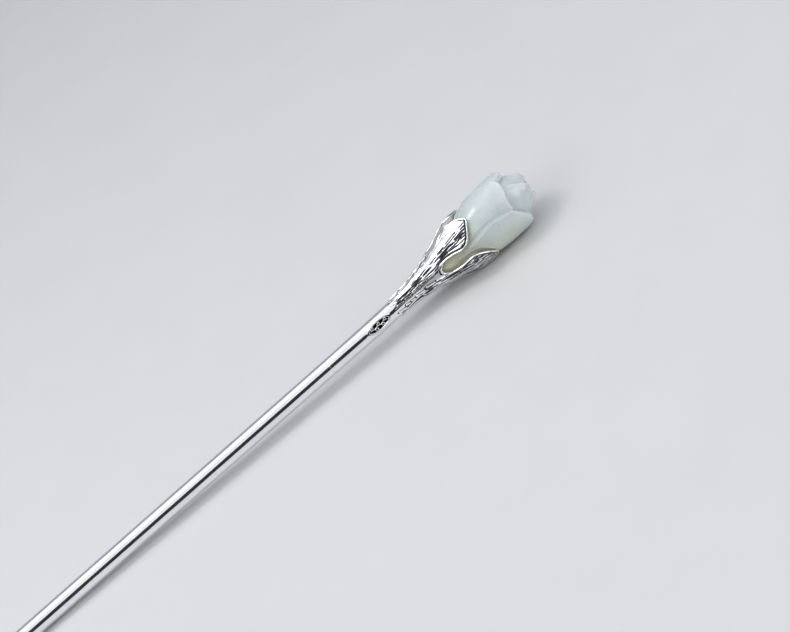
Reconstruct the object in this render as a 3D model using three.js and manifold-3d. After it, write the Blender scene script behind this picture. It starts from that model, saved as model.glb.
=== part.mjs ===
// Decorative hair pin: a stone flower bud, carved from one piece, held in a four-sepal silver
// calyx on a long round shaft.
// Units are millimetres. The pin is first built upright along +Z, with the shaft's tip at z = 0 and
// the front sepal facing +X. It is then bent a little at the neck and laid on its side, bud towards +X.
import * as THREE from "three";
import { mergeVertices } from "three/addons/utils/BufferGeometryUtils.js";
import Module from "manifold-3d";

// Overall size, and the play left between pieces that touch.
const LENGTH = 150;
const GAP = 0.08;

// The shaft.
const SHAFT_RADIUS = 1.5;
const TIP_RADIUS = 0.45;
const TAPER_LENGTH = 42;
const TAPER_TOP_RADIUS = 1.46;
const TENON_RADIUS = 0.9;

// Heights along the pin.
const JOINT = 106;
const TENON_TOP = 112;
const PANEL_CENTRE = 116.4;
const SEPAL_FOOT = 119.6;
const CUP_FLOOR = 128;
const CUP_RIM = 129.9;
const SEPAL_SHOULDER = 134.8;
const PETAL_JUNCTION = 145;

// The cup's inside, and the post that holds the bud.
const CUP_FLOOR_RADIUS = 1.9;
const CUP_WALL = 0.34;
const POST_RADIUS = 0.6;
const POST_FOOT = CUP_FLOOR - 1.5;
const POST_TOP = 134.4;
const BUD_BASE = CUP_FLOOR + 0.45;
const BUD_BORE_RADIUS = 1;
const BUD_BORE_TOP = POST_TOP + 0.5;

// The small oval panel sunk into the neck.
const PANEL_LENGTH = 4.2;
const PANEL_WIDTH = 1.4;
const PANEL_FLOOR_RADIUS = 1.3;
const PANEL_ANGLE = 35;

// The neck leans to one side, more and more from BEND_START to BEND_END.
const BEND_DEGREES = 2.1;
const BEND_ANGLE = -65;
const BEND_START = 113;
const BEND_END = 121;

// How far the lying pin is turned about its own length, away from its front sepal facing up.
const ROLL = 32;

// How finely round pieces are faceted.
const SHAFT_SIDES = 24;
const NECK_SIDES = 32;
const BUD_SIDES = 48;
const SMALL_SIDES = 16;

const SILVER = { color: 0xe4e6ea, roughness: 0.18, metalness: 1 };
const BARK_SILVER = { color: 0xd6d8dc, roughness: 0.32, metalness: 1 };
const JADE = { color: 0xd3dcd3, roughness: 0.3, metalness: 0 };
const ADHESIVE = { color: 0xd9d2b4, roughness: 0.5, metalness: 0 };

// Where each sepal faces, how high its tip reaches, and how far that tip leans to one side.
const SEPALS = [
  { name: "sepal_front", angle: 0, tip: 138.3, lean: -0.2 },
  { name: "sepal_right", angle: 90, tip: 138.9, lean: 0.2 },
  { name: "sepal_back", angle: 180, tip: 138.1, lean: 0.1 },
  { name: "sepal_left", angle: 270, tip: 138.5, lean: -0.1 },
];

// The three outer petals of the bud, and the directions of the inner ones that show above them.
const OUTER_PETALS = [
  { angle: -5, tip: 146.2 },
  { angle: 115, tip: 147 },
  { angle: 235, tip: 147.3 },
];
const INNER_PETALS = [45, 165, 285];
const PETAL_HALF_ANGLE = 60;

// How much fuller the bud is in the middle of its outer petals, as a share of its radius.
const PETAL_FULLNESS = 0.024;

const { clamp, lerp, smoothstep, euclideanModulo, degToRad, radToDeg } = THREE.MathUtils;
const wasm = await Module();
wasm.setup();

// A smooth function of height through a few [height, value] points, level beyond both ends.
function along(points) {
  const heights = points.map((point) => point[0]);
  const values = points.map((point) => point[1]);
  const spline = new THREE.CubicInterpolant(heights, values, 1);
  return (z) => spline.evaluate(clamp(z, heights[0], heights.at(-1)))[0];
}

// Outer radius of the smooth neck and cup.
const neckRadius = along([
  [JOINT, SHAFT_RADIUS],
  [112, 1.55],
  [116, 1.6],
  [121, 1.62],
  [124, 1.8],
  [127, 2.2],
  [129, 2.68],
  [CUP_RIM, 2.95],
]);

// Radius of the bud's outer petals, before its three-sided fullness.
const petalRadius = along([
  [BUD_BASE, 1.8],
  [CUP_RIM, 2.45],
  [132, 2.9],
  [134, 3.33],
  [135.5, 3.68],
  [136.5, 3.98],
  [138.5, 4.8],
  [141, 5.25],
  [143.5, 5.35],
  [145.5, 5.33],
  [147.4, 5.05],
]);

// Radius of the closed inner petals.
const heartRadius = along([
  [PETAL_JUNCTION - 1, 4.35],
  [147, 3.85],
  [148.2, 3.25],
  [149.2, 2.6],
  [LENGTH, 1.5],
]);

// A sepal's own inner radius above the cup's rim, where it stands off the bud like a spoon.
const spoonRadius = along([
  [CUP_RIM, 2.95],
  [131, 3.1],
  [132.6, 3.58],
  [133.6, 3.96],
  [134.6, 4.3],
  [136.5, 4.64],
  [139, 4.94],
]);

// Half the angle that a sepal covers, in degrees, and its thickness.
const sepalHalfAngle = along([
  [SEPAL_FOOT, 9],
  [122.5, 28],
  [CUP_RIM, 29],
  [132, 28],
  [SEPAL_SHOULDER, 34],
  [139, 32],
]);
const sepalThickness = along([
  [SEPAL_FOOT, 0.07],
  [124, 0.14],
  [CUP_RIM, 0.22],
  [132, 0.4],
  [135, 0.46],
  [139, 0.3],
]);

function angleBetween(a, b) {
  return Math.abs(euclideanModulo(a - b + 180, 360) - 180);
}

// The bud is slightly three-sided, fuller in the middle of each outer petal.
function outerPetals(z, degrees) {
  const fullness = PETAL_FULLNESS * smoothstep(z, 131, 141);
  return petalRadius(z) * (1 + fullness * Math.cos(degToRad(3 * (degrees - OUTER_PETALS[0].angle))));
}

// The inner petals meet in three shallow grooves.
function innerPetals(z, degrees) {
  const aside = Math.min(...INNER_PETALS.map((angle) => angleBetween(degrees, angle)));
  return heartRadius(z) * (1 - 0.12 * smoothstep(aside, 40, PETAL_HALF_ANGLE));
}

// The height of the outer petals' scalloped edge in one direction.
function petalEdge(degrees) {
  const heights = OUTER_PETALS.map(({ angle, tip }) => {
    const aside = Math.min(angleBetween(degrees, angle) / PETAL_HALF_ANGLE, 1);
    return lerp(tip, PETAL_JUNCTION, aside ** 2.2);
  });
  return Math.max(...heights);
}

function budSurface(z, degrees) {
  const covered = smoothstep(petalEdge(degrees) - z, -0.15, 0.35);
  return lerp(innerPetals(z, degrees), outerPetals(z, degrees), covered);
}

// The inside of a sepal lies on the neck below the cup's rim. Above it, only its tip touches the bud.
function sepalInside(z, degrees) {
  const own = z > CUP_RIM ? spoonRadius(z) : neckRadius(z);
  return Math.max(own, outerPetals(z, degrees)) + GAP;
}

// Sideways shift of the leaning neck at a height.
function leanAt(z) {
  const curved = clamp(z - BEND_START, 0, BEND_END - BEND_START);
  const straight = Math.max(z - BEND_END, 0);
  return Math.tan(degToRad(BEND_DEGREES)) * (curved ** 2 / (2 * (BEND_END - BEND_START)) + straight);
}

// A point at a height, a direction about the pin's axis and a distance from it.
function atRadius(vertex, z, degrees, radius) {
  return vertex.set(radius * Math.cos(degToRad(degrees)), radius * Math.sin(degToRad(degrees)), z);
}

// Moves every vertex of a geometry with a function that changes it in place.
function reshape(geometry, move) {
  const position = geometry.getAttribute("position");
  const vertex = new THREE.Vector3();
  for (let i = 0; i < position.count; i++) {
    move(vertex.fromBufferAttribute(position, i));
    position.setXYZ(i, vertex.x, vertex.y, vertex.z);
  }
  geometry.computeVertexNormals();
  return geometry;
}

function bent(geometry) {
  const side = atRadius(new THREE.Vector3(), 0, BEND_ANGLE, 1);
  return reshape(geometry, (vertex) => vertex.addScaledVector(side, leanAt(vertex.z)));
}

// A solid of revolution about +Z from [radius, height] points.
function turned(profile, sides) {
  const points = profile.map(([radius, height]) => new THREE.Vector2(radius, height));
  return new THREE.LatheGeometry(points, sides).rotateX(Math.PI / 2);
}

// [radius, height] points up a surface whose radius is a function of height.
function rising(radiusAt, low, high, steps) {
  return Array.from({ length: steps + 1 }, (_, i) => {
    const z = lerp(low, high, i / steps);
    return [radiusAt(z), z];
  });
}

function solidOf(geometry) {
  const bare = geometry.clone();
  bare.deleteAttribute("normal");
  bare.deleteAttribute("uv");
  const merged = mergeVertices(bare, 1e-4);
  const vertProperties = merged.getAttribute("position").array;
  const triVerts = new Uint32Array(merged.index.array);
  return new wasm.Manifold(new wasm.Mesh({ numProp: 3, vertProperties, triVerts }));
}

// The first geometry with the second cut away.
function cut(geometry, tool) {
  const mesh = solidOf(geometry).subtract(solidOf(tool)).getMesh();
  const result = new THREE.BufferGeometry();
  result.setAttribute("position", new THREE.BufferAttribute(mesh.vertProperties, 3));
  result.setIndex(new THREE.BufferAttribute(mesh.triVerts, 1));
  result.computeVertexNormals();
  return result;
}

// The solid rod: a blunt rounded point, a long taper, and a tenon that enters the neck.
function shaft() {
  const point = Array.from({ length: 4 }, (_, i) => {
    const turn = (i / 4) * (Math.PI / 2);
    return [TIP_RADIUS * Math.sin(turn), TIP_RADIUS * (1 - Math.cos(turn))];
  });
  const taper = (z) =>
    lerp(TIP_RADIUS, TAPER_TOP_RADIUS, Math.sin((Math.PI / 2) * ((z - TIP_RADIUS) / TAPER_LENGTH)));
  const profile = [
    ...point,
    ...rising(taper, TIP_RADIUS, TIP_RADIUS + TAPER_LENGTH, 8),
    [SHAFT_RADIUS, JOINT - GAP],
    [TENON_RADIUS, JOINT - GAP],
    [TENON_RADIUS, TENON_TOP],
    [0, TENON_TOP],
  ];
  return turned(profile, SHAFT_SIDES);
}

// What is cut away to sink the flat-floored oval panel into the neck.
function panelTool() {
  const oval = new THREE.Shape().absellipse(0, 0, PANEL_WIDTH / 2, PANEL_LENGTH / 2, 0, 2 * Math.PI);
  const outward = new THREE.Vector3(1, 0, 0);
  const sideways = new THREE.Vector3(0, 1, 0);
  const upward = new THREE.Vector3(0, 0, 1);
  return new THREE.ExtrudeGeometry(oval, { depth: 1, bevelEnabled: false, curveSegments: 12 })
    .applyMatrix4(new THREE.Matrix4().makeBasis(sideways, upward, outward))
    .translate(PANEL_FLOOR_RADIUS, 0, PANEL_CENTRE)
    .rotateZ(degToRad(PANEL_ANGLE));
}

// The smooth casting: a socket for the tenon below, a cup with a hole for the post above.
function neckCup() {
  const profile = [
    [0, TENON_TOP + GAP],
    [TENON_RADIUS + GAP, TENON_TOP + GAP],
    [TENON_RADIUS + GAP, JOINT],
    ...rising(neckRadius, JOINT, CUP_RIM, 18),
    [neckRadius(CUP_RIM) - CUP_WALL, CUP_RIM],
    [CUP_FLOOR_RADIUS, CUP_FLOOR],
    [POST_RADIUS + GAP, CUP_FLOOR],
    [POST_RADIUS + GAP, POST_FOOT],
    [0, POST_FOOT],
  ];
  return turned(profile, NECK_SIDES);
}

// A curved leaf whose foot runs down the neck and whose broad tip clasps the bud.
function sepal({ angle, tip, lean }) {
  const [across, upward] = [8, 18];
  return reshape(new THREE.BoxGeometry(1, 2, 1, 1, across, upward), (vertex) => {
    const side = vertex.y;
    const fromTip = side < lean ? (lean - side) / (1 + lean) : (side - lean) / (1 - lean);
    const reach = lerp(tip, SEPAL_SHOULDER, fromTip ** 1.6);
    const z = lerp(SEPAL_FOOT, reach, vertex.z + 0.5);
    const degrees = angle + side * sepalHalfAngle(z);
    const thickness = sepalThickness(z) * (1 - 0.3 * side ** 4);
    atRadius(vertex, z, degrees, sepalInside(z, degrees) + thickness * (vertex.x + 0.5));
  });
}

// The straight wire that the bud is glued on.
function post() {
  const profile = [
    [0, POST_FOOT + GAP],
    [POST_RADIUS, POST_FOOT + GAP],
    [POST_RADIUS, POST_TOP - 0.2],
    [POST_RADIUS - 0.2, POST_TOP],
    [0, POST_TOP],
  ];
  return turned(profile, SMALL_SIDES);
}

// The set glue: a thin bed under the bud and a sleeve around the post inside its bore.
function adhesive() {
  const [inside, sleeve, bed] = [POST_RADIUS + GAP, BUD_BORE_RADIUS - GAP, CUP_FLOOR_RADIUS - 2 * GAP];
  const profile = [
    [inside, CUP_FLOOR + GAP],
    [bed, CUP_FLOOR + GAP],
    [bed, BUD_BASE - GAP],
    [sleeve, BUD_BASE - GAP],
    [sleeve, POST_TOP - 0.4],
    [inside, POST_TOP - 0.4],
    [inside, CUP_FLOOR + GAP],
  ];
  return turned(profile, SMALL_SIDES);
}

// The carved stone: three outer petals overlap a closed heart of inner ones, on a blind bore.
function bud() {
  const profile = [
    [0, BUD_BASE],
    ...rising(petalRadius, BUD_BASE, PETAL_JUNCTION - 1, 14),
    ...rising(heartRadius, PETAL_JUNCTION - 0.6, LENGTH, 14),
    [0, LENGTH - 0.4],
  ];
  const carved = reshape(turned(profile, BUD_SIDES), (vertex) => {
    if (Math.hypot(vertex.x, vertex.y) < 1e-6) return;
    const degrees = radToDeg(Math.atan2(vertex.y, vertex.x));
    atRadius(vertex, vertex.z, degrees, budSurface(vertex.z, degrees));
  });
  const borer = turned(
    [
      [0, BUD_BASE - 1],
      [BUD_BORE_RADIUS, BUD_BASE - 1],
      [BUD_BORE_RADIUS, BUD_BORE_TOP],
      [0, BUD_BORE_TOP],
    ],
    SMALL_SIDES,
  );
  return cut(carved, borer);
}

function piece(name, geometry, look) {
  const mesh = new THREE.Mesh(geometry, new THREE.MeshStandardMaterial(look));
  mesh.name = name;
  return mesh;
}

function lowestPoint(meshes) {
  const points = meshes.flatMap((mesh) => {
    const position = mesh.geometry.getAttribute("position");
    const pointAt = (_, i) => new THREE.Vector3().fromBufferAttribute(position, i);
    return Array.from({ length: position.count }, pointAt).map((point) => mesh.localToWorld(point));
  });
  return points.reduce((low, point) => (point.z < low.z ? point : low));
}

// Lays the upright pin on the floor: the front sepal up, turned by ROLL, then tilted until both the
// shaft's tip and the bud touch z = 0, and centred over the origin.
function layDown(pin) {
  const [rod, ...head] = pin.children;
  const resting = new THREE.Group().add(pin);
  pin.rotation.set(0, Math.PI / 2, Math.PI + degToRad(ROLL), "YXZ");
  for (let i = 0; i < 4; i++) {
    resting.updateMatrixWorld(true);
    const [tip, bulge] = [lowestPoint([rod]), lowestPoint(head)];
    resting.rotation.y += Math.atan2(bulge.z - tip.z, bulge.x - tip.x);
  }
  const box = new THREE.Box3().setFromObject(resting, true);
  const middle = box.getCenter(new THREE.Vector3());
  resting.position.set(-middle.x, -middle.y, -box.min.z);
  return resting;
}

const pin = new THREE.Group();
pin.add(piece("pin_shaft", shaft(), SILVER));
pin.add(piece("neck_cup", cut(bent(neckCup()), panelTool()), SILVER));
SEPALS.forEach((each) => pin.add(piece(each.name, bent(sepal(each)), BARK_SILVER)));
pin.add(piece("bud_post", bent(post()), SILVER));
pin.add(piece("adhesive_bed", bent(adhesive()), ADHESIVE));
pin.add(piece("jade_bud", bent(bud()), JADE));

const hairPin = new THREE.Group().add(layDown(pin));

export default hairPin;
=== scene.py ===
"""Blender scene of a decorative hair pin: a carved jade bud in a bark-textured silver calyx on a long
polished shaft. Shapes are worked out in millimetres on an upright pin, whose shaft's tip is at z = 0
and whose front sepal faces +X, and are then laid down where the CAD model lies."""

import math

import bmesh
import bpy
import numpy as np
from mathutils import Matrix, Vector


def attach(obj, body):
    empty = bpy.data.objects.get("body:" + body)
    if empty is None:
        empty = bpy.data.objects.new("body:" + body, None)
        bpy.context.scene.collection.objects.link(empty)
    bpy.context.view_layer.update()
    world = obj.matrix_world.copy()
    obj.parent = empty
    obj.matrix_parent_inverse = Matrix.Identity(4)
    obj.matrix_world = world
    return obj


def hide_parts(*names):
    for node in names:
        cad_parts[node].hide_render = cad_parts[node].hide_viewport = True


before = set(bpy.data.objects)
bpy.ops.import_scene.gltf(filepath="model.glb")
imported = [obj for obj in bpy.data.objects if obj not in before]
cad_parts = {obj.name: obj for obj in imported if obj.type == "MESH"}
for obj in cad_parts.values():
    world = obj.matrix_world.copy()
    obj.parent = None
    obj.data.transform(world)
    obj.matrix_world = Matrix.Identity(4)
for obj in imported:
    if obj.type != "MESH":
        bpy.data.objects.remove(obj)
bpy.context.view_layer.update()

# Driving sizes of the pin, the same as the CAD model's, in millimetres and degrees.
LENGTH = 150
SHAFT_RADIUS = 1.5
TIP_RADIUS = 0.45
TAPER_LENGTH = 42
TENON_RADIUS = 0.9
JOINT = 106
TENON_TOP = 112
PANEL_CENTRE = 116.4
PANEL_LENGTH = 4.2
PANEL_WIDTH = 1.4
PANEL_FLOOR_RADIUS = 1.3
PANEL_ANGLE = 35
SEPAL_FOOT = 119.6
CUP_FLOOR = 128
CUP_RIM = 129.9
POST_RADIUS = 0.6
POST_FOOT = 126.5
BUD_BASE = 128.45
BUD_BORE_RADIUS = 1
BUD_BORE_TOP = 134.9
BEND_DEGREES = 2.1
BEND_ANGLE = -65
BEND_START = 113
BEND_END = 121
ROLL = 32

MILLIMETRE = 0.001

# The side of the pin that the camera looks at, in degrees from its front sepal.
VIEW_ANGLE = 25


# ---------------------------------------------------------------- numbers

def curve(*points):
    """A smooth function through (place, value) points, level beyond both ends."""
    places, values = np.array(points, float).T
    slopes = np.gradient(values, places)

    def at(place):
        place = np.clip(place, places[0], places[-1])
        i = np.clip(np.searchsorted(places, place, side="right") - 1, 0, len(places) - 2)
        width = places[i + 1] - places[i]
        t = (place - places[i]) / width
        return (
            (1 + 2 * t) * (1 - t) ** 2 * values[i]
            + t * (1 - t) ** 2 * width * slopes[i]
            + t * t * (3 - 2 * t) * values[i + 1]
            + t * t * (t - 1) * width * slopes[i + 1]
        )

    return at


def smoothstep(value, low, high):
    t = np.clip((value - low) / (high - low), 0, 1)
    return t * t * (3 - 2 * t)


def mix(a, b, share):
    return a + (b - a) * share


def angle_from(degrees, centre):
    """The signed angle from centre to degrees, between -180 and 180."""
    return (degrees - centre + 180) % 360 - 180


def noise(x, y, seed):
    """Smooth noise between -1 and 1, on a lattice of unit cells that repeats every 256."""
    lattice = np.random.default_rng(seed).uniform(-1, 1, (256, 256))
    i, j = np.floor(x).astype(int), np.floor(y).astype(int)
    u, v = smoothstep(x - i, 0, 1), smoothstep(y - j, 0, 1)

    def corner(di, dj):
        return lattice[(i + di) % 256, (j + dj) % 256]

    return mix(mix(corner(0, 0), corner(1, 0), u), mix(corner(0, 1), corner(1, 1), u), v)


def rounded(distance, radius):
    """How far a rounded edge has risen at a distance from it: 0 at the edge, 1 beyond radius."""
    t = np.clip(distance / radius, 0, 1)
    return np.sqrt(np.maximum(1 - (1 - t) ** 2, 0))


# ---------------------------------------------------------------- the pin's own frame

def lying_frame():
    """The tip of the shaft, and the pin's front, right and lengthwise directions, in the CAD frame."""
    points = np.array([v.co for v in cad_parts["pin_shaft"].data.vertices])
    centre = points.mean(0)
    axis = np.linalg.svd(points - centre, full_matrices=False)[2][0]
    axis = axis * np.sign(axis[0])
    tip = centre + axis * ((points - centre) @ axis).min()
    up = np.array([0, 0, 1]) - axis[2] * axis
    up = up / np.linalg.norm(up)
    side = np.cross(axis, up)
    roll = math.radians(ROLL)
    front = math.cos(roll) * up + math.sin(roll) * side
    return tip, np.array([front, np.cross(axis, front), axis])


TIP, BASIS = lying_frame()


def direction(degrees):
    """A sideways direction of the upright pin."""
    return np.array([math.cos(math.radians(degrees)), math.sin(math.radians(degrees)), 0])


def lean(z):
    """Sideways shift of the leaning neck at a height."""
    curved = np.clip(z - BEND_START, 0, BEND_END - BEND_START)
    straight = np.maximum(z - BEND_END, 0)
    return math.tan(math.radians(BEND_DEGREES)) * (curved**2 / (2 * (BEND_END - BEND_START)) + straight)


def laid_down(points):
    """Points of the straight upright pin, in millimetres, as points of the lying one, in metres."""
    leaning = points + lean(points[:, 2:3]) * direction(BEND_ANGLE)
    return TIP + MILLIMETRE * leaning @ BASIS


def at_radius(radius, degrees, z):
    """Points at a distance from the pin's axis, a direction about it and a height."""
    radius, degrees, z = np.broadcast_arrays(radius, np.radians(degrees), z)
    return np.stack([radius * np.cos(degrees), radius * np.sin(degrees), z], -1)


# ---------------------------------------------------------------- mesh helpers

def grid_faces(rows, columns, closed=False, first=0, flipped=False):
    """Quads of a grid of points numbered row by row. A closed grid joins its last column to its first."""
    i = np.arange(rows - 1)[:, None]
    j = np.arange(columns if closed else columns - 1)[None, :]
    k = (j + 1) % columns
    quads = np.stack([i * columns + j, i * columns + k, (i + 1) * columns + k, (i + 1) * columns + j], -1)
    quads = first + quads.reshape(-1, 4)
    return quads[:, ::-1] if flipped else quads


def make_object(name, points, faces, values=None, place=True):
    """A smooth-shaded object from points of the upright pin. values are named numbers per point."""
    mesh = bpy.data.meshes.new(name)
    where = laid_down(points) if place else points
    mesh.from_pydata(where.tolist(), [], faces.tolist())
    for key, numbers in (values or {}).items():
        mesh.attributes.new(key, "FLOAT", "POINT").data.foreach_set("value", np.ravel(numbers).astype("f4"))
    mesh.polygons.foreach_set("use_smooth", [True] * len(mesh.polygons))
    obj = bpy.data.objects.new(name, mesh)
    bpy.context.scene.collection.objects.link(obj)
    return obj


def merge_close(obj, distance):
    work = bmesh.new()
    work.from_mesh(obj.data)
    bmesh.ops.remove_doubles(work, verts=work.verts, dist=distance)
    bmesh.ops.recalc_face_normals(work, faces=work.faces)
    work.to_mesh(obj.data)
    work.free()


def turned(name, radii, heights, degrees, values=None):
    """A closed solid of revolution. radii and heights are rows of one number per direction, or one each."""
    shape = (len(radii), len(degrees))
    radii = np.stack([np.broadcast_to(r, shape[1]) for r in radii])
    heights = np.stack([np.broadcast_to(z, shape[1]) for z in heights])
    points = at_radius(radii, degrees[None, :], heights)
    obj = make_object(name, points.reshape(-1, 3), grid_faces(*shape, closed=True), values)
    merge_close(obj, 2e-7)
    return obj


# ---------------------------------------------------------------- shapes shared by several pieces

neck_radius = curve(
    (JOINT, SHAFT_RADIUS), (112, 1.55), (116, 1.6), (121, 1.62), (124, 1.8), (127, 2.2), (129, 2.68),
    (CUP_RIM, 2.95),
)
petal_radius = curve(
    (BUD_BASE, 1.8), (CUP_RIM, 2.45), (132, 2.9), (134, 3.33), (135.5, 3.68), (136.5, 3.98),
    (137.5, 4.4), (138.5, 4.78), (139.5, 5.04), (141, 5.21), (143.5, 5.28), (145.5, 5.28), (146.3, 5.14),
    (146.9, 4.88), (147.4, 4.5),
)
heart_radius = curve(
    (144, 4.35), (145, 4.2), (147, 3.82), (148.2, 3.27), (149.2, 2.65), (149.6, 2.25), (LENGTH, 1.8),
)


# ---------------------------------------------------------------- shaft

def shaft_piece():
    """The polished rod, drawn down to a blunt point, with the faint waves of hand polishing."""
    turn = np.linspace(0, math.pi / 2, 12)
    tip_r, tip_z = TIP_RADIUS * np.sin(turn), TIP_RADIUS * (1 - np.cos(turn))
    z = np.arange(TIP_RADIUS + 0.25, JOINT - 0.1, 0.25)
    share = np.clip((z - TIP_RADIUS) / TAPER_LENGTH, 0, 1)
    taper = mix(TIP_RADIUS, SHAFT_RADIUS, np.sin(share * math.pi / 2))
    degrees = np.arange(0, 360, 360 / 96)
    around = np.cos(np.radians(degrees))[None, :] * 2
    waves = noise(z[:, None] / 5 + 3, around, 11) * 0.006 + noise(z[:, None] / 1.7, around * 1.6, 12) * 0.0015
    radii = [*tip_r, *(taper[:, None] + waves), SHAFT_RADIUS, SHAFT_RADIUS - 0.008, TENON_RADIUS,
             TENON_RADIUS, 0]
    heights = [*tip_z, *z, JOINT - 0.03, JOINT - 0.015, JOINT - 0.015, TENON_TOP, TENON_TOP]
    return turned("polished_shaft", radii, heights, degrees)


# ---------------------------------------------------------------- neck and cup

NECK_TOP = 129.4
SEPAL_COUNT = 4
FIT_GAP = 0.06


def vine_relief(along, across):
    """A raised wavy vine with five alternate leaves, from 0 to 1, on a panel in millimetres."""
    wave = 0.07 * np.sin(4.6 * along)
    height = 0.7 * rounded(0.08 - np.abs(across - wave), 0.07) * (np.abs(along) < 1.75)
    for number, start in enumerate(np.linspace(-1.35, 1.35, 5)):
        side = 1 if number % 2 else -1
        x, y = along - start, side * across - 0.29
        u, v = 0.8 * x + 0.6 * y, -0.6 * x + 0.8 * y
        blade = 1 - (u / 0.42) ** 2 - (v / 0.26) ** 2
        height = np.maximum(height, rounded(blade, 0.8))
    return height


def panel_sunk(radius, degrees, z):
    """The neck's radius with the oval marking panel sunk into it, and how dark its hollow is."""
    aside = angle_from(degrees, PANEL_ANGLE)
    across, along = np.radians(aside) * radius, z - PANEL_CENTRE
    reach = np.sqrt((along / (PANEL_LENGTH / 2)) ** 2 + (across / (PANEL_WIDTH / 2)) ** 2)
    floor = PANEL_FLOOR_RADIUS / np.maximum(np.cos(np.radians(aside)), 0.3)
    leaves = vine_relief(along, across)
    inside = 1 - smoothstep(reach, 0.86, 1.0)
    lip = 0.04 * np.exp(-(((reach - 1.12) / 0.1) ** 2))
    swell = 0.06 * np.exp(-((reach / 1.8) ** 4))
    dark = inside * (1 - smoothstep(leaves, 0.25, 0.75))
    return mix(radius + lip + swell, floor + 0.2 * leaves, inside), dark


def fragments(degrees, z, radius):
    """Raised islands of bark along both sides of each web: their height from 0 to 1, and their outlines."""
    random = np.random.default_rng(77)
    height = np.zeros(np.broadcast(degrees, z, radius).shape)
    outline = np.zeros_like(height)
    for web in 45 + 360 / SEPAL_COUNT * np.arange(SEPAL_COUNT):
        for side in (-1, 1):
            place = SEPAL_FOOT + random.uniform(0.3, 1)
            while place < CUP_RIM - 2:
                length, width = random.uniform(0.4, 1.1), random.uniform(0.11, 0.18)
                place = place + length
                offset = np.interp(place, [SEPAL_FOOT, 122, 124, 129], [25, 15, 13.5, 13.5])
                offset = side * (offset + random.uniform(-1.5, 1.5))
                across = np.radians(angle_from(degrees, web + offset)) * radius
                across = across - 0.08 * np.sin(2.5 * (z - place))
                size = ((z - place) / length) ** 4 + (across / width) ** 4
                height = np.maximum(height, smoothstep(1.25 - size, 0, 0.8))
                outline = np.maximum(outline, np.exp(-(((size**0.25 - 1.22) / 0.22) ** 2)))
                place = place + length + random.uniform(0.05, 0.35)
    return height, outline * (1 - height)


def neck_piece():
    """The smooth casting: socket, sunk panel, flaring web, and the cup whose rim shows in the notches."""
    degrees = np.arange(0, 360, 1.0)
    z = np.concatenate([
        np.arange(JOINT, 113.8, 0.13), np.arange(113.8, 119, 0.04), np.arange(119, NECK_TOP, 0.065),
    ])

    # The rim is a bead that dips in a round U in the middle of each notch between the sepals.
    notch = np.abs(angle_from(degrees, 45) % (360 / SEPAL_COUNT))
    notch = np.minimum(notch, 360 / SEPAL_COUNT - notch)
    covered = smoothstep(notch, 16.5, 19)
    rise = 0.95 * (np.minimum(notch, 17) / 17) ** 2.4 * (1 - covered)
    rim = CUP_RIM - 0.05 + rise

    # The wall is raised with the rim, dented, carved along both sides of each web and grooved below the rim.
    grid, around = z[:, None] + rise * smoothstep(z, 127.5, NECK_TOP)[:, None], degrees[None, :]
    radius = neck_radius(grid)
    dents = 0.014 * noise(grid / 1.1, around / 22.5, 21) * smoothstep(grid, 119, 122)
    dents = dents + 0.007 * noise(grid / 3.2, around / 45, 22) * smoothstep(grid, JOINT, JOINT + 2)
    islands, outlines = fragments(around, grid, radius)
    moat = np.exp(-(((grid - rim[None, :] + 0.56) / 0.12) ** 2)) * (1 - covered)[None, :]
    outer, hollow = panel_sunk(radius + dents + 0.15 * islands - 0.07 * outlines - 0.1 * moat, around, grid)

    # How dark the oxidised hollows are. The web between two sepals is darkened a little all over.
    web = smoothstep(grid, 123.5, 126) * (1 - smoothstep(notch, 10, 14))[None, :]
    dark = np.maximum(np.maximum(hollow, 0.95 * outlines), np.maximum(0.95 * moat, 0.34 * web))

    turn = np.linspace(-0.45 * math.pi, 0.9 * math.pi, 18)
    bead = mix(0.21, 0.1, covered)
    rim_radius = mix(2.97 + 0.15 * rise, 2.82, covered)
    bead_r = [rim_radius + bead * math.cos(a) for a in turn]
    bead_z = [rim - bead + bead * math.sin(a) for a in turn]
    inside = [(2.5, 129.5), (2.3, 129.1), (1.95, CUP_FLOOR + 0.05), (1.85, CUP_FLOOR),
              (POST_RADIUS + 0.08, CUP_FLOOR), (POST_RADIUS + 0.08, POST_FOOT), (0, POST_FOOT)]
    socket = [(0, TENON_TOP + FIT_GAP), (TENON_RADIUS + FIT_GAP, TENON_TOP + FIT_GAP),
              (TENON_RADIUS + FIT_GAP, JOINT), (SHAFT_RADIUS - 0.008, JOINT), (SHAFT_RADIUS, JOINT + 0.015)]
    radii = [*[r for r, _ in socket], *outer[1:], *bead_r, *[r for r, _ in inside]]
    heights = [*[h for _, h in socket], *grid[1:], *bead_z, *[h for _, h in inside]]
    groove = np.zeros((len(radii), len(degrees)))
    groove[len(socket):len(socket) + len(dark) - 1] = dark[1:]
    return turned("cast_neck_and_cup", radii, heights, degrees, {"groove": groove})


# ---------------------------------------------------------------- sepals

SEPAL_ROWS = 300
SEPAL_COLUMNS = 120
SEPAL_EDGE = 0.16
GRAIN_ROWS = 13
PIT_COUNT = 26

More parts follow.
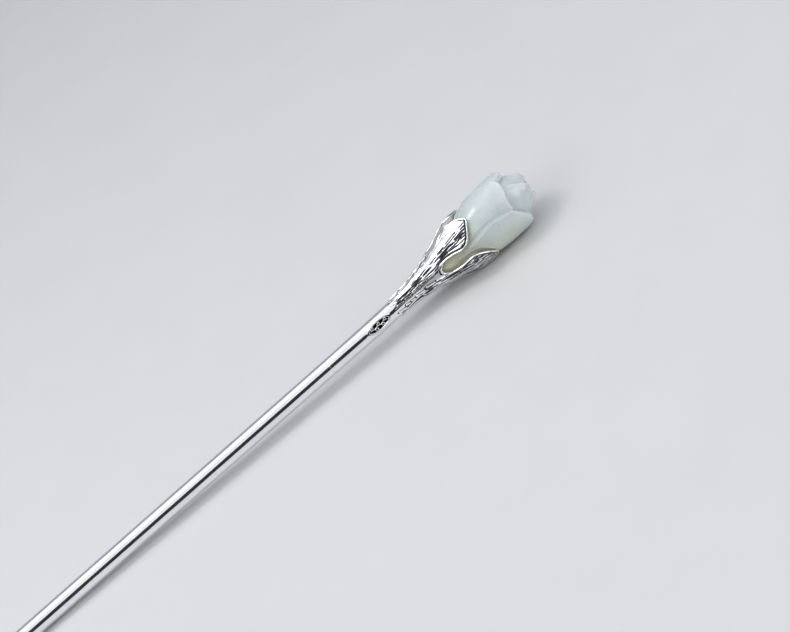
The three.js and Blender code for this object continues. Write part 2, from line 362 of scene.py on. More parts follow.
sepal_half_angle = curve(
    (SEPAL_FOOT, 10), (121, 24), (122.5, 29), (126, 30), (CUP_RIM, 29), (131.3, 26.5), (132.5, 28),
    (134.4, 34), (136, 35), (139, 33),
)
sepal_inner = curve(
    (SEPAL_FOOT, 1.63), (121, 1.64), (124, 1.8), (127, 2.2), (129, 2.68), (CUP_RIM, 2.98), (131, 3.12),
    (131.7, 3.28), (132.6, 3.58), (133.6, 3.96), (134.6, 4.3), (135.6, 4.48), (136.5, 4.62),
    (137.5, 4.74), (138.6, 4.92), (140, 5.1),
)
sepal_thickness = curve(
    (SEPAL_FOOT, 0.08), (122, 0.16), (126, 0.24), (CUP_RIM, 0.3), (132, 0.42), (134.5, 0.44), (137, 0.43),
    (139, 0.36),
)


def broad(z):
    """Where the front and left sepals spread towards each other and nearly close their notch."""
    return smoothstep(z, 128.8, 130.6) * (1 - smoothstep(z, 133, 135))


# The sepals. u is how far across a sepal a point is, from -1 to 1, and z is its height. "end" is the edge
# of its tip, "roughness_at" how strongly the bark is cut, "rolled_at" how far the rim is rolled up, both
# from 0 to 1, and "spread_at" how many degrees its sides spread beyond sepal_half_angle.
SEPALS = {
    "sepal_front": {
        "angle": 0,
        "end": curve((-1, 134.9), (-0.85, 135.6), (-0.62, 137), (-0.4, 137.8), (-0.22, 138.15),
                     (-0.06, 138), (0.16, 137.55), (0.46, 136.9), (0.75, 136.1), (0.92, 135.2), (1, 134.1)),
        "roughness_at": lambda u: mix(0.2, 1, smoothstep(u, -0.35, 0.2)),
        "rolled_at": lambda u: smoothstep(u, -0.9, 0.1),
        "spread_at": lambda u, z: 11 * smoothstep(-u, 0, 0.8) * broad(z),
    },
    "sepal_right": {
        "angle": 90,
        "end": curve((-1, 135.2), (-0.8, 136.3), (-0.5, 137.5), (-0.2, 138.3), (0.2, 138.9), (0.5, 138.2),
                     (0.8, 136.6), (1, 134.9)),
        "roughness_at": lambda u: 1,
        "rolled_at": lambda u: 1,
        "spread_at": lambda u, z: 0,
    },
    "sepal_back": {
        "angle": 180,
        "end": curve((-1, 134.7), (-0.7, 136.2), (-0.3, 137.5), (0.1, 138.1), (0.4, 137.6), (0.75, 136),
                     (1, 134.9)),
        "roughness_at": lambda u: 0.9,
        "rolled_at": lambda u: 1,
        "spread_at": lambda u, z: 0,
    },
    "sepal_left": {
        "angle": 270,
        "end": curve((-1, 134.9), (-0.75, 136), (-0.4, 137.4), (-0.1, 138.4), (0.3, 138), (0.7, 136.6),
                     (1, 135.1)),
        "roughness_at": lambda u: mix(1, 0.4, smoothstep(u, -0.2, 0.3)),
        "rolled_at": lambda u: mix(0.5, 1, smoothstep(u, -0.4, 0.4)),
        "spread_at": lambda u, z: 9 * smoothstep(u, 0, 0.8) * broad(z),
    },
}


def grain(u, half_width, z, seed):
    """Long thin broken lines that fan out lengthwise over a leaf, from 0 between them to 1 along them.
    u is how far across the leaf, from -1 to 1, and half_width is in millimetres."""
    random = np.random.default_rng(seed)
    depth = np.zeros(np.broadcast(u, z).shape)
    for row, centre in enumerate(np.linspace(-0.92, 0.92, GRAIN_ROWS)):
        centre = centre + random.uniform(-0.04, 0.04)
        distance = (u - centre) * half_width + 0.11 * noise(z / 1.5, 9 * centre + 20 + 0 * z, seed + 1)
        start = (SEPAL_FOOT, 129.5, 124, 130.5)[row % 4] + random.uniform(0, 1.5)
        while start < 138.5:
            length, breadth = random.uniform(0.8, 4.2), random.uniform(0.08, 0.15)
            pointed = np.maximum(1 - (2 * (z - start) / length - 1) ** 2, 1e-6)
            stroke = np.exp(-((distance / breadth) ** 2) / pointed**0.7)
            depth = np.maximum(depth, random.uniform(0.55, 1) * stroke * smoothstep(pointed, 0, 0.3))
            start = start + length + random.uniform(-0.2, 0.5)
    return depth


def pits(across, z, seed):
    """Short deep strokes scattered over a leaf, away from its middle, from 0 to 1."""
    random = np.random.default_rng(seed)
    depth = np.zeros(np.broadcast(across, z).shape)
    for _ in range(PIT_COUNT):
        place_z = random.uniform(SEPAL_FOOT + 1, 137.4)
        half_width = math.radians(28) * float(sepal_inner(place_z))
        place = random.choice([-1, 1]) * random.uniform(0.2, 0.9) * half_width
        length, breadth = random.uniform(0.3, 0.9), random.uniform(0.07, 0.13)
        slant = random.normal(0, 0.06)
        u = (z - place_z) / length
        v = (across - place - slant * (z - place_z)) / breadth
        depth = np.maximum(depth, random.uniform(0.6, 1) * np.exp(-((u**2 + v**2) ** 1.4)))
    return depth


def sepal_piece(name, angle, end, roughness_at, rolled_at, spread_at, seed):
    """One bark-textured leaf with a rolled bright rim, as a closed shell."""
    x = np.linspace(-1, 1, SEPAL_COLUMNS)
    u = (0.4 * x + 0.6 * np.sin(x * math.pi / 2))[None, :]
    v = np.linspace(0, 1, SEPAL_ROWS)
    v = (0.55 * v + 0.45 * np.sin(v * math.pi / 2))[:, None]
    ragged = 0.5 * noise(u * 5 + 40, np.zeros_like(u), seed + 8)
    foot = SEPAL_FOOT + 0.5 + 0.9 * np.abs(u) ** 1.5 + ragged
    z = mix(foot, end(u), v)
    spoon = smoothstep(z, 130.5, 133) * mix(1, 0.6, smoothstep(z, 136, 138.5))
    inner = sepal_inner(z) + spoon * (0.42 * u**2 - 0.22)
    jag = 1.6 * noise(z / 0.8, np.sign(u) * 9.5 + 20, seed + 9) * (1 - smoothstep(z, 128, 131))
    half = sepal_half_angle(z) + jag + spread_at(u, z)
    across = np.radians(u * half) * inner

    # Distances to the leaf's sides and to its two ends.
    slope = np.gradient(end(u[0]), u[0])[None, :] / (np.radians(half) * inner)
    to_side = (1 - np.abs(u)) * np.radians(half) * inner
    to_end = (end(u) - z) / np.sqrt(1 + slope**2)
    edge = np.minimum(np.minimum(to_side, to_end), 0.6 * (z - foot))
    upper = smoothstep(z, 128.5, 131)

    rough = roughness_at(u) + 0.25 * noise(across / 0.8, z / 2.5, seed + 7)
    rough = np.clip(rough, 0, 1)
    lines = grain(u, np.radians(half) * inner, z, seed)
    strokes = pits(across, z, seed + 5)
    carved = np.maximum(lines * rough, strokes * smoothstep(rough, 0.1, 0.5))
    rolled = upper * rolled_at(u) * (0.75 + 0.4 * noise(z / 1.6, np.sign(u) * 7.5 + 30, seed + 10))
    bead = np.exp(-(((edge - 0.14) / 0.1) ** 2)) * rolled
    channel = np.exp(-(((edge - 0.42) / 0.13) ** 2)) * np.minimum(1.3 * rolled, 1)
    carved = carved * mix(1, smoothstep(edge, 0.46, 0.66), upper)
    carved = np.maximum(carved, 0.75 * channel)
    thickness = sepal_thickness(z)
    swell = 0.1 * noise(across / 0.5, z / 2.6, seed + 6)
    depth = np.minimum(0.2 * carved, 0.62 * thickness)
    outside = thickness * (1 + swell) + 0.05 * bead - depth
    lift = rounded(edge, SEPAL_EDGE)
    low = inner + 0.35 * thickness * (1 - rounded(edge, 0.1))
    high = inner + mix(0.35 * thickness, outside, lift)

    degrees = angle + u * half
    top = at_radius(high, degrees, z)
    bottom = at_radius(low, degrees, z)[:, 1:-1][:, ::-1]
    loop = np.concatenate([top, bottom], 1)
    rows, columns = loop.shape[:2]
    dark = carved * lift
    shade = np.concatenate([dark, np.zeros(bottom.shape[:2])], 1)
    faces = grid_faces(rows, columns, closed=True)
    foot_cap = cap_faces(0, SEPAL_COLUMNS, columns)
    end_cap = cap_faces((rows - 1) * columns, SEPAL_COLUMNS, columns)[:, ::-1]
    faces = np.concatenate([faces, foot_cap, end_cap])
    obj = make_object(name + "_bark", loop.reshape(-1, 3), faces, {"groove": shade})
    merge_close(obj, 1e-8)
    return obj


def cap_faces(first, outer_count, loop_count):
    """Quads that close the end of a flattened loop, whose outer side has outer_count points."""
    top = first + np.arange(outer_count)
    inner = first + loop_count - 1 - np.arange(outer_count - 2)
    bottom = np.concatenate([[first], inner, [first + outer_count - 1]])
    return np.stack([top[:-1], bottom[:-1], bottom[1:], top[1:]], -1)[1:-1]


# ---------------------------------------------------------------- jade bud

VOXEL = 0.085
CORE_DEPTH = 0.38

# The outer petals. "from" and "to" are the directions of a petal's sides at heights, "end" its top edge
# across its width from 0 to 1, "proud" how far it stands out across its width, and "blunt" the radius
# that its end is rounded to away from its first side. Each petal's first side lies over its neighbour's
# second side.
PETALS = [
    {
        "from": curve((129, 172), (136, 168), (145, 165)),
        "to": curve((129, 335), (145, 335)),
        "end": curve((0, 145.4), (0.12, 146.6), (0.3, 147.3), (0.5, 147.38), (0.8, 147.32), (0.9, 147.1),
                     (0.96, 146.65), (1, 146)),
        "proud": curve((0, -0.04), (0.4, 0), (0.76, 0), (1, -0.1)),
    },
    {
        "from": curve((129, -30), (136, -34), (137.8, -36), (139.4, -43), (140.9, -42), (144.6, -35),
                      (146, -24)),
        "to": curve((129, 62), (145, 60)),
        "end": curve((0, 145.4), (0.06, 145.75), (0.15, 145.92), (0.26, 145.88), (0.42, 145.58),
                     (0.55, 145.2), (0.64, 145), (0.7, 144.9), (0.77, 144.95), (0.88, 144.4), (1, 144.2)),
        "proud": curve((0, 0.09), (0.35, 0.05), (0.7, -0.06), (1, -0.12)),
    },
    {
        "from": curve((129, 50), (134, 42), (136.2, 39.5), (137.7, 36.3), (139.1, 33.2), (140.4, 32.3),
                      (141.9, 34.7), (143.2, 37.6), (144.6, 41.4), (145.4, 46)),
        "to": curve((129, 182), (136, 184), (145, 186)),
        "end": curve((0, 144.5), (0.05, 145.1), (0.11, 145.7), (0.18, 146.15), (0.3, 146.65), (0.5, 146.85),
                     (0.7, 146.7), (0.9, 146), (1, 145.2)),
        "proud": curve((0, 0.07), (0.25, 0), (0.53, -0.04), (1, -0.2)),
        "blunt": 0.8,
    },
]

# The closed inner petals. Their rounded rims stand free round a small hollow at the apex.
INNER_PETALS = [
    {
        "from": curve((144, 150), (150, 150)),
        "to": curve((144, 208), (150, 208)),
        "end": curve((0, 148.6), (0.25, 149.35), (0.5, 149.62), (0.75, 149.45), (1, 148.8)),
        "proud": curve((0, -0.16), (1, -0.16)),
    },
    {
        "from": curve((144, 184), (150, 184)),
        "to": curve((144, 250), (150, 250)),
        "end": curve((0, 148.9), (0.2, 149.55), (0.45, 149.85), (0.75, 149.7), (1, 148.9)),
        "proud": curve((0, -0.1), (1, -0.16)),
    },
    {
        "from": curve((144, -135), (150, -128)),
        "to": curve((144, 18), (150, 20)),
        "end": curve((0, 148.3), (0.15, 149.3), (0.4, 149.72), (0.68, 149.9), (0.85, 149.72), (1, 149.0)),
        "proud": curve((0, -0.1), (0.5, -0.12), (1, -0.14)),
    },
    {
        "from": curve((144, 52), (150, 55)),
        "to": curve((144, 182), (150, 172)),
        "end": curve((0, 148.9), (0.2, 149.4), (0.5, 149.65), (0.8, 149.62), (0.93, 149.2), (1, 148.6)),
        "proud": curve((0, -0.05), (0.5, -0.02), (1, -0.06)),
    },
    {
        "from": curve((144, -12), (146.9, -4), (148.1, 4), (149.1, 16), (149.5, 22)),
        "to": curve((144, 90), (146.7, 81), (147.7, 69), (148.7, 61), (149.5, 57)),
        "end": curve((0, 148.9), (0.15, 149.35), (0.35, 149.53), (0.65, 149.56), (0.88, 149.42), (1, 149.05)),
        "proud": curve((0, 0.1), (0.5, 0.14), (1, 0.08)),
    },
]

# Fine carved lines on the petals: (direction, height) points along each, its height and half width.
CARVED_LINES = [
    {"path": [(41.5, 135.6), (39.8, 136.6), (37, 137.9), (34.3, 139.2), (33.6, 140.5), (36, 142),
              (39.2, 143.3), (43, 144.5)], "height": 0.045, "width": 0.12},
    {"path": [(35, 136.2), (31.8, 137.9), (29.4, 139.4), (29, 140.6), (31.2, 142), (34.4, 143.4),
              (38.4, 144.6)], "height": -0.05, "width": 0.11},
    {"path": [(26.8, 135.8), (25.4, 137.6), (24.4, 139.4), (25, 141), (27, 142.8), (30.4, 144.4)],
     "height": 0.03, "width": 0.11},
    {"path": [(46.5, 135.9), (43.6, 137.2), (40.4, 138.3), (38.6, 139.2)], "height": 0.03, "width": 0.1},
    {"path": [(52.5, 133.8), (54, 135), (55.8, 136.3), (60, 137.2), (69, 137.9), (76, 138.4), (84, 139)],
     "height": 0.1, "width": 0.14},
    {"path": [(57, 134), (59, 135.4), (61, 136.3), (66, 136.9), (74, 137.3), (84, 138)],
     "height": -0.02, "width": 0.17},
]

# Small dark inclusions in the stone: (direction, height, radius).
FLECKS = [(44.5, 141.35, 0.12), (28.5, 147.85, 0.12), (83, 138.7, 0.2), (118, 142.2, 0.13), (163, 140.4, 0.1),
          (207, 144.2, 0.14), (251, 141.1, 0.09), (282, 145.3, 0.1)]


def petal_points(petal, radius, depth, low, edge_radius, fineness):
    """A petal as a slab of two grids: (points, faces). radius is the bud's at a height, depth the petal's
    thickness at a distance below its end, and low the height of its foot."""
    columns = int(140 * fineness)
    u = np.linspace(0, 1, columns)[None, :]
    end = petal["end"](u)
    v = np.linspace(0, 1, int(200 * fineness))[:, None]
    z = mix(low, end, np.sin(v * math.pi / 2) ** 0.9)
    start, stop = petal["from"](z), petal["to"](z)
    degrees = mix(start, stop, u)
    surface = radius(z) + petal["proud"](u) * smoothstep(z, 131, 137)
    width = np.radians(stop - start) * surface
    slope = np.gradient(end[0], u[0])[None, :] / width
    to_side = np.minimum(u, 1 - u) * width
    to_end = (end - z) / np.sqrt(1 + slope**2)
    edge = np.minimum(to_side, to_end)
    rim = 0.035 * np.exp(-(((edge - edge_radius) / (0.6 * edge_radius)) ** 2))
    blunt = mix(edge_radius, petal.get("blunt", edge_radius), smoothstep(u, 0.2, 0.45))
    drop = np.maximum(edge_radius * (1 - rounded(to_side, edge_radius)), blunt * (1 - rounded(to_end, blunt)))
    outer = surface + rim - 0.8 * drop
    inner = surface - depth(end - z) + 0.3 * edge_radius * (1 - rounded(to_end, 0.6 * edge_radius))
    top = at_radius(outer, degrees, z).reshape(-1, 3)
    bottom = at_radius(np.minimum(inner, outer - 0.1), degrees, z).reshape(-1, 3)
    return np.concatenate([top, bottom]), slab_faces(z.shape[0], columns)


def slab_faces(rows, columns):
    count = rows * columns
    top = grid_faces(rows, columns)
    bottom = grid_faces(rows, columns, first=count, flipped=True)
    ids = np.arange(count).reshape(rows, columns)
    border = np.concatenate([ids[0], ids[1:, -1], ids[-1, -2::-1], ids[-2:0:-1, 0]])
    after = np.roll(border, -1)
    walls = np.stack([border, border + count, after + count, after], -1)
    return np.concatenate([top, bottom, walls])


def core_points():
    """The stone inside the petals, with the blind bore for the post: (points, faces)."""
    z = np.linspace(BUD_BASE, 148.9, 90)
    petals, heart = petal_radius(z) - CORE_DEPTH * smoothstep(z, 131, 137), heart_radius(z) - 0.42
    outer = mix(petals, heart, smoothstep(z, 140.5, 143.5))
    radii = np.array([0, BUD_BORE_RADIUS, BUD_BORE_RADIUS, *outer, 0.8, 0])
    heights = np.array([BUD_BORE_TOP, BUD_BORE_TOP, BUD_BASE, *z, 149.05, 149.0])
    degrees = np.arange(0, 360, 3)
    points = at_radius(radii[:, None], degrees[None, :], heights[:, None])
    return points.reshape(-1, 3), grid_faces(len(radii), len(degrees), closed=True)


def remeshed(points, faces, voxel):
    """The union of closed bodies as one even mesh: (points, faces)."""
    rough = make_object("rough_bud", points, faces, place=False)
    merge_close(rough, 1e-6)
    change = rough.modifiers.new("union", "REMESH")
    change.mode = "VOXEL"
    change.voxel_size = voxel
    mesh = rough.evaluated_get(bpy.context.evaluated_depsgraph_get()).to_mesh()
    places = np.empty(len(mesh.vertices) * 3)
    mesh.vertices.foreach_get("co", places)
    quads = np.array([tuple(p.vertices) for p in mesh.polygons])
    bpy.data.objects.remove(rough, do_unlink=True)
    return places.reshape(-1, 3), quads


def averaged(values, faces, rounds, amount=0.6):
    """Rows of values, one per point, drawn towards the mean of their neighbours' rows."""
    edges = np.concatenate([faces[:, [0, 1]], faces[:, [1, 2]], faces[:, [2, 3]], faces[:, [3, 0]]])
    count = np.bincount(edges.ravel(), minlength=len(values))[:, None]
    for _ in range(rounds):
        total = np.stack([
            np.bincount(edges[:, 0], column[edges[:, 1]], len(values))
            + np.bincount(edges[:, 1], column[edges[:, 0]], len(values))
            for column in values.T
        ], -1)
        values = values + amount * (total / count - values)
    return values


def relaxed(points, faces, rounds):
    """Points evened out towards their neighbours. A slightly larger step back keeps them from shrinking."""
    for _ in range(rounds):
        points = averaged(averaged(points, faces, 1), faces, 1, -0.62)
    return points


def raised_edges(points, faces):
    """How much each point stands out from its surroundings: 0 in the open, 1 along a thin raised edge."""
    corners = points[faces]
    across = np.cross(corners[:, 2] - corners[:, 0], corners[:, 3] - corners[:, 1])
    normals = np.zeros_like(points)
    for k in range(4):
        np.add.at(normals, faces[:, k], across)
    normals /= np.linalg.norm(normals, axis=1)[:, None] + 1e-12
    proud = ((points - averaged(points, faces, 6)) * normals).sum(1)
    return smoothstep(averaged(proud[:, None], faces, 1)[:, 0], 0.007, 0.032)


def line_distance(arc, z, path, radius):
    """Distance, in millimetres over the unrolled bud, from points to a line."""
    steps = np.arange(len(path))
    degrees, heights = np.array(path, float).T
    fine = np.linspace(0, len(path) - 1, 10 * len(path))
    line_z = curve(*zip(steps, heights))(fine)
    line_arc = np.radians(curve(*zip(steps, degrees))(fine)) * radius(line_z)
    squares = [(arc - a) ** 2 + (z - h) ** 2 for a, h in zip(line_arc, line_z)]
    return np.sqrt(np.min(squares, 0))


def outer_depth(below):
    """An outer petal's thickness at a distance below its end."""
    return mix(1.0, 1.3, smoothstep(below, 0.5, 2.0)) * smoothstep(below, -1, 0)


def inner_depth(below):
    """The same for an inner petal."""
    return mix(0.4, 0.95, smoothstep(below, 0.6, 1.4))


def bud_body():
    """The petal shells and the core merged into one smooth body: (points, faces)."""
    bodies = [core_points()]
    for petal in PETALS:
        bodies.append(petal_points(petal, petal_radius, outer_depth, low=131.0, edge_radius=0.4, fineness=1))
    for petal in INNER_PETALS:
        body = petal_points(petal, heart_radius, inner_depth, low=144.2, edge_radius=0.2, fineness=0.6)
        bodies.append(body)
    points, faces, first = [], [], 0
    for body_points, body_faces in bodies:
        points.append(body_points)
        faces.append(body_faces + first)
        first += len(body_points)
    points, faces = remeshed(np.concatenate(points), np.concatenate(faces), VOXEL)
    return relaxed(points, faces, 4), faces


def bud_piece():
    """The carved stone with its fine lines and flecks. olive, deep, fleck and rim say how warm, how dark,
    how flecked and how thin-edged it is at each point. deep is painted shade low down, rim is where a painted
    glow whitens thin edges, and olive adds painted warm light on the right side to the stone's olive foot."""
    points, faces = bud_body()
    z = points[:, 2]
    degrees = np.degrees(np.arctan2(points[:, 1], points[:, 0]))
    reach = np.hypot(points[:, 0], points[:, 1])
    skin = np.where(z < 145.5, petal_radius(z), heart_radius(z))
    outside = smoothstep(reach / skin, 0.72, 0.85)

    # How far each point is pushed outwards.
    push = np.zeros(len(points))
    for line in CARVED_LINES:
        distance = line_distance(np.radians(degrees) * petal_radius(z), z, line["path"], petal_radius)
        push = push + line["height"] * np.exp(-((distance / line["width"]) ** 2))
    fleck = np.zeros(len(points))
    for angle, height, size in FLECKS:
        across = np.radians(angle_from(degrees, angle)) * reach
        distance = np.sqrt(across**2 + (z - height) ** 2)
        fleck = np.maximum(fleck, np.exp(-((distance / size) ** 2)))
    push = (push - 0.03 * fleck) * outside
    points[:, :2] *= (1 + push / np.maximum(reach, 0.5))[:, None]

    # The foot is olive all round. The right side is tinged with it nearly up to the top, as painted warm
    # light.
    base = 1 - smoothstep(z, 131.5, 140.5)
    right = smoothstep(np.cos(np.radians(degrees - 118)), 0.2, 1) * (1 - smoothstep(z, 141, 148))
    return make_object("carved_jade_bud", points, faces, {
        "olive": np.clip(0.9 * base + 0.5 * right, 0, 1),
        # deep is painted shade, darker over the lower half of the bud.
        "deep": 1 - smoothstep(z, 135.5, 144),
        "fleck": fleck * outside,
        # rim is where a painted glow whitens the thin raised edges.
        "rim": raised_edges(points, faces),
    })


# ---------------------------------------------------------------- materials

def shader(name, **settings):
    """A material with its principled shader's sockets set: (material, nodes, links, principled)."""
    material = bpy.data.materials.new(name)
    material.use_nodes = True
    nodes, links = material.node_tree.nodes, material.node_tree.links
    principled = nodes["Principled BSDF"]
    for socket, value in settings.items():
        principled.inputs[socket.replace("_", " ")].default_value = value
    return material, nodes, links, principled


def add(nodes, kind, **settings):
    """A new node with its properties or sockets set."""
    node = nodes.new(kind)
    for key, value in settings.items():
        if hasattr(node, key):
            setattr(node, key, value)
        else:
            node.inputs[key.replace("_", " ")].default_value = value
    return node


def coloured(nodes, links, factor, *stops):
    """A colour that follows a factor through (position, colour) stops."""
    ramp = nodes.new("ShaderNodeValToRGB")
    elements = ramp.color_ramp.elements
    while len(elements) < len(stops):
        elements.new(0.5)
    for element, (position, colour) in zip(elements, stops):
        element.position = position
        element.color = (*colour, 1)
    links.new(factor, ramp.inputs["Fac"])
    return ramp.outputs["Color"]


def ranged(nodes, links, value, low, high, new_low, new_high):
    """A value from low to high brought to the range from new_low to new_high."""
    node = add(nodes, "ShaderNodeMapRange", From_Min=low, From_Max=high, To_Min=new_low, To_Max=new_high)
    links.new(value, node.inputs["Value"])
    return node.outputs["Result"]


def painted(nodes, name):
    """A number that the mesh carries at each point, such as how dark its grooves are."""
    return add(nodes, "ShaderNodeAttribute", attribute_name=name).outputs["Fac"]


def blended(nodes, links, factor, first, second):
    """The first colour, giving way to the second as factor rises. The second is a socket or a colour."""
    blend = add(nodes, "ShaderNodeMix", data_type="RGBA")
    factor_in, colours_in, colour_out = blend.inputs["Factor"], blend.inputs[6:8], blend.outputs[2]
    links.new(factor, factor_in)
    links.new(first, colours_in[0])
    if isinstance(second, tuple):
        colours_in[1].default_value = (*second, 1)
    else:
        links.new(second, colours_in[1])
    return colour_out


def textured(nodes, links, scale, detail=3.0, stretch=(1, 1, 1)):
    """Noise on the object's own coordinates, in cells per metre."""
    where = nodes.new("ShaderNodeTexCoord")
    stretched = add(nodes, "ShaderNodeMapping", Scale=stretch)
    links.new(where.outputs["Object"], stretched.inputs["Vector"])
    texture = add(nodes, "ShaderNodeTexNoise", Scale=scale, Detail=detail, Roughness=0.6)
    links.new(stretched.outputs["Vector"], texture.inputs["Vector"])
    return texture.outputs["Fac"]


def bumped(nodes, links, principled, height, strength, distance):
    bump = add(nodes, "ShaderNodeBump", Strength=strength, Distance=distance)
    links.new(height, bump.inputs["Height"])
    links.new(bump.outputs["Normal"], principled.inputs["Normal"])


def polished_silver():
    """Mirror silver with faint smears and scratches, darkened where the neck is cut into and a little on the
    webs between the sepals.
    """
    material, nodes, links, principled = shader("polished_silver", Metallic=1.0)
    tarnish = textured(nodes, links, 260, 4)
    bright = coloured(nodes, links, tarnish, (0.3, (0.86, 0.87, 0.9)), (0.7, (0.96, 0.96, 0.97)))
    sunk = ranged(nodes, links, painted(nodes, "groove"), 0.15, 0.6, 0, 1)
    links.new(blended(nodes, links, sunk, bright, (0.05, 0.05, 0.055)), principled.inputs["Base Color"])
    smears = textured(nodes, links, 700, 5, (0.25, 1, 1))
    links.new(ranged(nodes, links, smears, 0.3, 0.75, 0.07, 0.17), principled.inputs["Roughness"])
    scratches = textured(nodes, links, 9000, 2, (0.06, 1, 1))
    bumped(nodes, links, principled, scratches, 0.12, 0.00001)
    return material


def bark_silver():
    """Cast silver, bright on its ridges and nearly black and duller in its oxidised grooves."""
    material, nodes, links, principled = shader("bark_silver", Metallic=1.0)
    groove = painted(nodes, "groove")
    colour = coloured(nodes, links, groove, (0.08, (0.97, 0.97, 0.98)), (0.2, (0.5, 0.51, 0.54)),
                      (0.34, (0.07, 0.07, 0.08)), (1.0, (0.02, 0.02, 0.025)))
    links.new(colour, principled.inputs["Base Color"])
    links.new(ranged(nodes, links, groove, 0, 0.8, 0.1, 0.4), principled.inputs["Roughness"])
    grain = textured(nodes, links, 5200, 4, (0.4, 1, 1))
    bumped(nodes, links, principled, grain, 0.2, 0.00003)
    return material


def jade():
    """Translucent stone: cloudy blue-grey, warming to olive at its base, with a waxy gloss."""
    material, nodes, links, principled = shader(
        "pale_jade", IOR=1.61, Subsurface_Weight=1.0, Subsurface_Scale=0.002, Coat_Weight=0.4,
        Coat_Roughness=0.1, Subsurface_Anisotropy=0.3,
    )
    principled.inputs["Subsurface Radius"].default_value = (0.9, 1.0, 0.95)
    clouds = textured(nodes, links, 260, 5)
    fine = textured(nodes, links, 900, 2)
    pale = coloured(nodes, links, clouds, (0.3, (0.63, 0.7, 0.71)), (0.5, (0.71, 0.77, 0.785)),
                    (0.72, (0.79, 0.84, 0.85)))
    warm = coloured(nodes, links, clouds, (0.3, (0.64, 0.64, 0.47)), (0.7, (0.72, 0.72, 0.57)))

    # Painted shade darkens it low down. It is olive round its foot, painted warm light tints its right side,
    # a painted glow whitens thin edges, and it is brown in flecks.
    deep = ranged(nodes, links, painted(nodes, "deep"), 0, 1, 0, 0.6)
    rim = ranged(nodes, links, painted(nodes, "rim"), 0, 1, 0, 0.85)
    fleck = ranged(nodes, links, painted(nodes, "fleck"), 0, 1, 0, 0.5)
    # Painted shade: the stone is darkened towards its foot.
    colour = blended(nodes, links, deep, pale, (0.47, 0.545, 0.545))
    # The stone's own olive foot, plus painted warm light on the right side.
    colour = blended(nodes, links, painted(nodes, "olive"), colour, warm)
    # Painted glow: thin raised edges whitened.
    colour = blended(nodes, links, rim, colour, (0.97, 0.98, 0.975))
    colour = blended(nodes, links, fleck, colour, (0.33, 0.34, 0.27))
    links.new(colour, principled.inputs["Base Color"])
    links.new(ranged(nodes, links, fine, 0.3, 0.7, 0.17, 0.23), principled.inputs["Roughness"])
    bumped(nodes, links, principled, fine, 0.1, 0.00003)
    return material


def set_glue():
    """Cloudy yellowish glue, patchy in its gloss."""
    material, nodes, links, principled = shader("set_glue", IOR=1.5)
    clouds, patches = textured(nodes, links, 900), textured(nodes, links, 2000)
    colour = coloured(nodes, links, clouds, (0.3, (0.6, 0.55, 0.38)), (0.7, (0.72, 0.68, 0.52)))
    links.new(colour, principled.inputs["Base Color"])
    links.new(ranged(nodes, links, patches, 0.3, 0.7, 0.3, 0.6), principled.inputs["Roughness"])
    return material


def pale_floor():
    material, nodes, links, principled = shader("pale_floor", Roughness=0.75, Specular_IOR_Level=0.25)
    clouds = textured(nodes, links, 60, 2)
    colour = coloured(nodes, links, clouds, (0.3, (0.72, 0.725, 0.735)), (0.7, (0.735, 0.74, 0.75)))
    links.new(colour, principled.inputs["Base Color"])
    return material


# ---------------------------------------------------------------- the pieces

SILVER, BARK, JADE, GLUE = polished_silver(), bark_silver(), jade(), set_glue()


def finish_piece(piece, material, slot, *nodes):
    piece.data.materials.clear()
    piece.data.materials.append(material)
    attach(piece, "root")
    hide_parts(*nodes)


finish_piece(shaft_piece(), SILVER, "polished_silver", "pin_shaft")
finish_piece(neck_piece(), SILVER, "polished_silver", "neck_cup")
for number, (sepal_name, sepal) in enumerate(SEPALS.items()):
    leaf = sepal_piece(sepal_name, seed=100 + 20 * number, **sepal)
    finish_piece(leaf, BARK, "bark_silver", sepal_name)
finish_piece(bud_piece(), JADE, "jade", "jade_bud")

for hidden, material in (("bud_post", SILVER), ("adhesive_bed", GLUE)):
    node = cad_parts[hidden]
    node.data.materials.clear()
    node.data.materials.append(material)


# ---------------------------------------------------------------- floor, light and camera

# Soft lights round the head of the pin: places from it and sizes, in metres, and powers, in watts. One
# that hangs shines straight down, and the others face the head.
LIGHTS = {
    "overhead_softbox": {"place": (-0.42, -0.08, 0.42), "size": (1.5, 0.78), "power": 3.15, "hangs": True},
    "highlight_strip": {"place": (-0.17, 0.05, 0.4), "size": (0.22, 0.13), "power": 0.37, "hangs": True},
    "side_card": {"place": (-0.38, -0.27, 0.19), "size": (0.34, 0.34), "power": 0.45, "hangs": False},
    "end_card": {"place": (0.34, -0.2, 0.2), "size": (0.3, 0.3), "power": 0.55, "hangs": False},
}
FLOOR_HALF = 1.5
HEAD_HEIGHT = 128.0


def floor_piece():
    corners = [[-1, -1, 0], [1, -1, 0], [1, 1, 0], [-1, 1, 0]]
    points = FLOOR_HALF * np.array(corners)
    floor = make_object("floor", points, np.array([[0, 1, 2, 3]]), place=False)
    floor.data.materials.append(pale_floor())


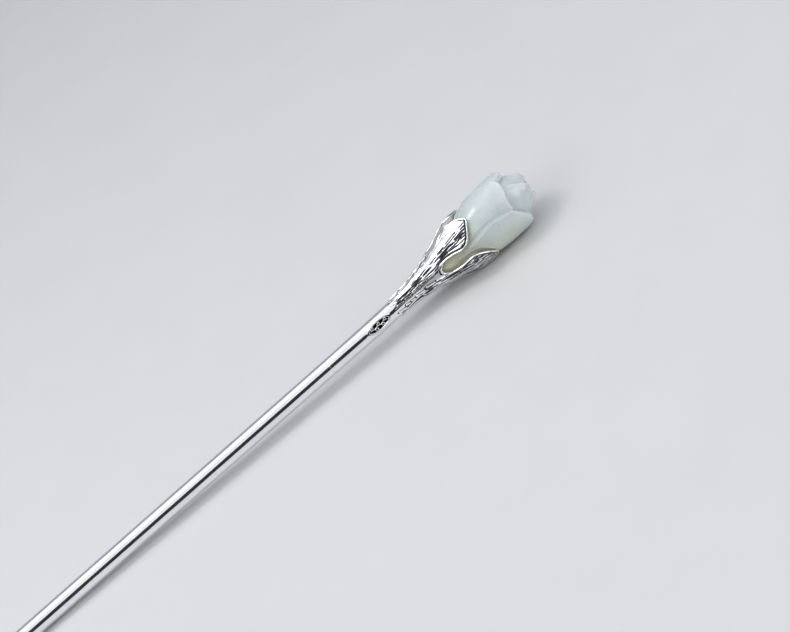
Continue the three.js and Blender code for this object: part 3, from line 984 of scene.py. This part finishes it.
def area_light(name, place, target, size, power):
    light = bpy.data.lights.new(name, "AREA")
    light.shape = "RECTANGLE"
    light.size, light.size_y = size
    light.energy = power
    obj = bpy.data.objects.new(name, light)
    obj.location = place
    obj.rotation_euler = (Vector(target) - Vector(place)).to_track_quat("-Z", "Y").to_euler()
    bpy.context.scene.collection.objects.link(obj)


def world_light():
    """A dim room that is lightest behind the pin."""
    world = bpy.data.worlds.new("studio")
    world.use_nodes = True
    nodes, links = world.node_tree.nodes, world.node_tree.links
    where = nodes.new("ShaderNodeTexCoord")
    split = nodes.new("ShaderNodeSeparateXYZ")
    links.new(where.outputs["Generated"], split.inputs["Vector"])
    sky = coloured(nodes, links, ranged(nodes, links, split.outputs["Y"], -1, 1, 0, 1),
                   (0.2, (0.03, 0.03, 0.035)), (0.5, (0.1, 0.105, 0.115)), (0.66, (0.22, 0.235, 0.265)),
                   (0.86, (0.36, 0.385, 0.43)))
    links.new(sky, nodes["Background"].inputs["Color"])
    bpy.context.scene.world = world


def studio():
    head = laid_down(np.array([[0, 0, HEAD_HEIGHT]]))[0]
    floor_piece()
    world_light()
    for name, light in LIGHTS.items():
        place = head + light["place"]
        target = place - [0, 0, 1] if light["hangs"] else head
        area_light(name, place, target, light["size"], light["power"])


def camera():
    """A long lens square to the pin, turned so that the pin rises from the lower left."""
    slope, width, distance = math.radians(41.4), 0.128, 0.42
    towards = direction(VIEW_ANGLE) @ BASIS
    across = direction(VIEW_ANGLE + 90) @ BASIS
    along = BASIS[2]
    right = math.cos(slope) * along + math.sin(slope) * across
    above = math.sin(slope) * along - math.cos(slope) * across
    target = TIP + MILLIMETRE * (119.3 * along + 0.8 * across)
    lens = bpy.data.cameras.new("camera")
    lens.sensor_width = 36
    lens.lens = lens.sensor_width * distance / width
    obj = bpy.data.objects.new("camera", lens)
    turn = Matrix((right, above, towards)).transposed().to_4x4()
    obj.matrix_world = Matrix.Translation(target + distance * towards) @ turn
    bpy.context.scene.collection.objects.link(obj)
    bpy.context.scene.camera = obj


studio()
camera()
bpy.context.scene.view_settings.view_transform = "Standard"
